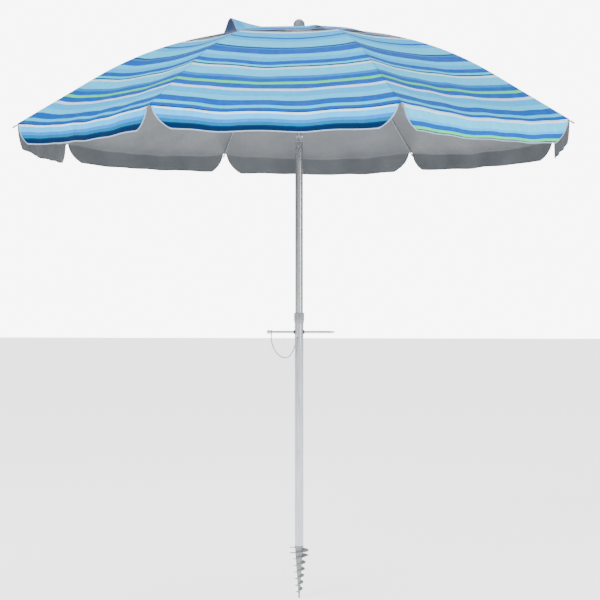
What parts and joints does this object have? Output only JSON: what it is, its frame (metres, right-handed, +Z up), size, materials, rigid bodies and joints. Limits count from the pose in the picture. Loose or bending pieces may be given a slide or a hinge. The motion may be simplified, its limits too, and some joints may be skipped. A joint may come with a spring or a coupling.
{
  "type": "beach umbrella",
  "caption": "Tilting beach umbrella with a vented striped canopy on folding ribs, a two-piece metal pole, a crossbar handle and a screw-in sand auger.",
  "frame": {"origin": "tip of the sand auger, on the pole's axis, at the bottom centre of the object's box", "axes": "+Z up along the pole; -Y out through the middle of the front gore; the crossbar lies along X"},
  "size_m": [1.7048, 1.7048, 1.869],
  "materials": {
    "pole_metal": "brushed silver tube",
    "grey_plastic": "moulded grey plastic, fine texture",
    "white_plastic": "smooth white plastic",
    "grey_rubber": "soft dark rubber",
    "steel": "satin steel",
    "spring_steel": "drawn wire",
    "chrome": "polished",
    "rib_steel": "silver grey coated rod",
    "tether": "grey elastic cord",
    "canopy_cloth": "striped coated polyester, silver grey inside"
  },
  "bodies": {
    "lower_pole": {"lower_pole": "pole_metal", "sand_auger": "grey_plastic", "auger_screw": "steel", "crossbar_grommets": "grey_rubber", "tether_cord": "tether", "tether_eyelet": "steel"},
    "lock_collar": {"lock_collar": "grey_plastic"},
    "collar_liner": {"collar_liner": "white_plastic"},
    "crossbar": {"crossbar": "steel", "tether_loop": "tether"},
    "upper_pole": {"upper_pole": "pole_metal", "upper_pole_plug": "grey_plastic", "tilt_yoke": "grey_plastic", "yoke_rivets": "steel", "tilt_pin": "steel", "tilt_spring": "spring_steel"},
    "tilt_button": {"tilt_button": "chrome"},
    "top_pole": {"tilt_knuckle": "grey_plastic", "knuckle_rivets": "steel", "top_pole": "pole_metal", "latch_catch": "spring_steel", "crown_hub": "grey_plastic", "crown_ring": "spring_steel", "finial": "grey_plastic", "vent_cap": "canopy_cloth"},
    "runner": {"runner": "grey_plastic", "runner_ring": "spring_steel"},
    "rib_1_body": {"rib_1": "rib_steel", "rib_fittings_1": "grey_plastic", "canopy_gore_1": "canopy_cloth"},
    "stretcher_1_body": {"stretcher_1": "rib_steel"},
    "rib_2_body": {"rib_2": "rib_steel", "rib_fittings_2": "grey_plastic", "canopy_gore_2": "canopy_cloth"},
    "stretcher_2_body": {"stretcher_2": "rib_steel"},
    "rib_3_body": {"rib_3": "rib_steel", "rib_fittings_3": "grey_plastic", "canopy_gore_3": "canopy_cloth"},
    "stretcher_3_body": {"stretcher_3": "rib_steel"},
    "rib_4_body": {"rib_4": "rib_steel", "rib_fittings_4": "grey_plastic", "canopy_gore_4": "canopy_cloth"},
    "stretcher_4_body": {"stretcher_4": "rib_steel"},
    "rib_5_body": {"rib_5": "rib_steel", "rib_fittings_5": "grey_plastic", "canopy_gore_5": "canopy_cloth"},
    "stretcher_5_body": {"stretcher_5": "rib_steel"},
    "rib_6_body": {"rib_6": "rib_steel", "rib_fittings_6": "grey_plastic", "canopy_gore_6": "canopy_cloth"},
    "stretcher_6_body": {"stretcher_6": "rib_steel"},
    "rib_7_body": {"rib_7": "rib_steel", "rib_fittings_7": "grey_plastic", "canopy_gore_7": "canopy_cloth"},
    "stretcher_7_body": {"stretcher_7": "rib_steel"},
    "rib_8_body": {"rib_8": "rib_steel", "rib_fittings_8": "grey_plastic", "canopy_gore_8": "canopy_cloth"},
    "stretcher_8_body": {"stretcher_8": "rib_steel"}
  },
  "joints": [
    {"name": "collar_twist", "type": "hinge", "parent": "lower_pole", "child": "lock_collar", "pos_m": [0, 0, 0.905], "axis": [0, 0, 1], "range_deg": [0, 90]},
    {"name": "canopy_swivel", "type": "hinge", "parent": "lower_pole", "child": "collar_liner", "pos_m": [0, 0, 0.916], "axis": [0, 0, 1], "continuous": true},
    {"name": "pole_lift", "type": "slide", "parent": "collar_liner", "child": "upper_pole", "axis": [0, 0, 1], "range_m": [0, 0.045]},
    {"name": "crossbar_slide", "type": "slide", "parent": "lower_pole", "child": "crossbar", "axis": [-1, 0, 0], "range_m": [0, 0.095], "deforming": ["tether_cord"]},
    {"name": "tilt_hinge", "type": "hinge", "parent": "upper_pole", "child": "top_pole", "pos_m": [0, 0, 1.492], "axis": [1, 0, 0], "range_deg": [-30, 0]},
    {"name": "tilt_button_press", "type": "slide", "parent": "upper_pole", "child": "tilt_button", "axis": [-1, 0, 0], "range_m": [0, 0.002], "stiffness_N_per_m": 500, "springref_m": -0.002, "deforming": ["tilt_spring"]},
    {"name": "runner_slide", "type": "slide", "parent": "top_pole", "child": "runner", "axis": [0, 0, -1], "range_m": [0, 0.5326], "deforming": ["canopy_gore_1", "canopy_gore_2", "canopy_gore_3", "canopy_gore_4", "canopy_gore_5", "canopy_gore_6", "canopy_gore_7", "canopy_gore_8", "vent_cap", "latch_catch"]},
    {"name": "rib_fold_1", "type": "hinge", "parent": "top_pole", "child": "rib_1_body", "pos_m": [0.01848, 0.00765, 1.832], "axis": [-0.3827, 0.9239, 0], "range_deg": [0, 65.8]},
    {"name": "stretcher_fold_1", "type": "hinge", "parent": "rib_1_body", "child": "stretcher_1_body", "pos_m": [0.37224, 0.15419, 1.76252], "axis": [0.3827, -0.9239, 0], "range_deg": [0, 116.59]},
    {"name": "rib_fold_2", "type": "hinge", "parent": "top_pole", "child": "rib_2_body", "pos_m": [0.00765, 0.01848, 1.832], "axis": [-0.9239, 0.3827, 0], "range_deg": [0, 65.8]},
    {"name": "stretcher_fold_2", "type": "hinge", "parent": "rib_2_body", "child": "stretcher_2_body", "pos_m": [0.15419, 0.37224, 1.76252], "axis": [0.9239, -0.3827, 0], "range_deg": [0, 116.59]},
    {"name": "rib_fold_3", "type": "hinge", "parent": "top_pole", "child": "rib_3_body", "pos_m": [-0.00765, 0.01848, 1.832], "axis": [-0.9239, -0.3827, 0], "range_deg": [0, 65.8]},
    {"name": "stretcher_fold_3", "type": "hinge", "parent": "rib_3_body", "child": "stretcher_3_body", "pos_m": [-0.15419, 0.37224, 1.76252], "axis": [0.9239, 0.3827, 0], "range_deg": [0, 116.59]},
    {"name": "rib_fold_4", "type": "hinge", "parent": "top_pole", "child": "rib_4_body", "pos_m": [-0.01848, 0.00765, 1.832], "axis": [-0.3827, -0.9239, 0], "range_deg": [0, 65.8]},
    {"name": "stretcher_fold_4", "type": "hinge", "parent": "rib_4_body", "child": "stretcher_4_body", "pos_m": [-0.37224, 0.15419, 1.76252], "axis": [0.3827, 0.9239, 0], "range_deg": [0, 116.59]},
    {"name": "rib_fold_5", "type": "hinge", "parent": "top_pole", "child": "rib_5_body", "pos_m": [-0.01848, -0.00765, 1.832], "axis": [0.3827, -0.9239, 0], "range_deg": [0, 65.8]},
    {"name": "stretcher_fold_5", "type": "hinge", "parent": "rib_5_body", "child": "stretcher_5_body", "pos_m": [-0.37224, -0.15419, 1.76252], "axis": [-0.3827, 0.9239, 0], "range_deg": [0, 116.59]},
    {"name": "rib_fold_6", "type": "hinge", "parent": "top_pole", "child": "rib_6_body", "pos_m": [-0.00765, -0.01848, 1.832], "axis": [0.9239, -0.3827, 0], "range_deg": [0, 65.8]},
    {"name": "stretcher_fold_6", "type": "hinge", "parent": "rib_6_body", "child": "stretcher_6_body", "pos_m": [-0.15419, -0.37224, 1.76252], "axis": [-0.9239, 0.3827, 0], "range_deg": [0, 116.59]},
    {"name": "rib_fold_7", "type": "hinge", "parent": "top_pole", "child": "rib_7_body", "pos_m": [0.00765, -0.01848, 1.832], "axis": [0.9239, 0.3827, 0], "range_deg": [0, 65.8]},
    {"name": "stretcher_fold_7", "type": "hinge", "parent": "rib_7_body", "child": "stretcher_7_body", "pos_m": [0.15419, -0.37224, 1.76252], "axis": [-0.9239, -0.3827, 0], "range_deg": [0, 116.59]},
    {"name": "rib_fold_8", "type": "hinge", "parent": "top_pole", "child": "rib_8_body", "pos_m": [0.01848, -0.00765, 1.832], "axis": [0.3827, 0.9239, 0], "range_deg": [0, 65.8]},
    {"name": "stretcher_fold_8", "type": "hinge", "parent": "rib_8_body", "child": "stretcher_8_body", "pos_m": [0.37224, -0.15419, 1.76252], "axis": [-0.3827, -0.9239, 0], "range_deg": [0, 116.59]}
  ],
  "couplings": [
    {"joint": "rib_fold_1", "follows": "runner_slide", "rad_per_m": 2.156},
    {"joint": "stretcher_fold_1", "follows": "runner_slide", "rad_per_m": 3.8203},
    {"joint": "rib_fold_2", "follows": "runner_slide", "rad_per_m": 2.156},
    {"joint": "stretcher_fold_2", "follows": "runner_slide", "rad_per_m": 3.8203},
    {"joint": "rib_fold_3", "follows": "runner_slide", "rad_per_m": 2.156},
    {"joint": "stretcher_fold_3", "follows": "runner_slide", "rad_per_m": 3.8203},
    {"joint": "rib_fold_4", "follows": "runner_slide", "rad_per_m": 2.156},
    {"joint": "stretcher_fold_4", "follows": "runner_slide", "rad_per_m": 3.8203},
    {"joint": "rib_fold_5", "follows": "runner_slide", "rad_per_m": 2.156},
    {"joint": "stretcher_fold_5", "follows": "runner_slide", "rad_per_m": 3.8203},
    {"joint": "rib_fold_6", "follows": "runner_slide", "rad_per_m": 2.156},
    {"joint": "stretcher_fold_6", "follows": "runner_slide", "rad_per_m": 3.8203},
    {"joint": "rib_fold_7", "follows": "runner_slide", "rad_per_m": 2.156},
    {"joint": "stretcher_fold_7", "follows": "runner_slide", "rad_per_m": 3.8203},
    {"joint": "rib_fold_8", "follows": "runner_slide", "rad_per_m": 2.156},
    {"joint": "stretcher_fold_8", "follows": "runner_slide", "rad_per_m": 3.8203}
  ]
}
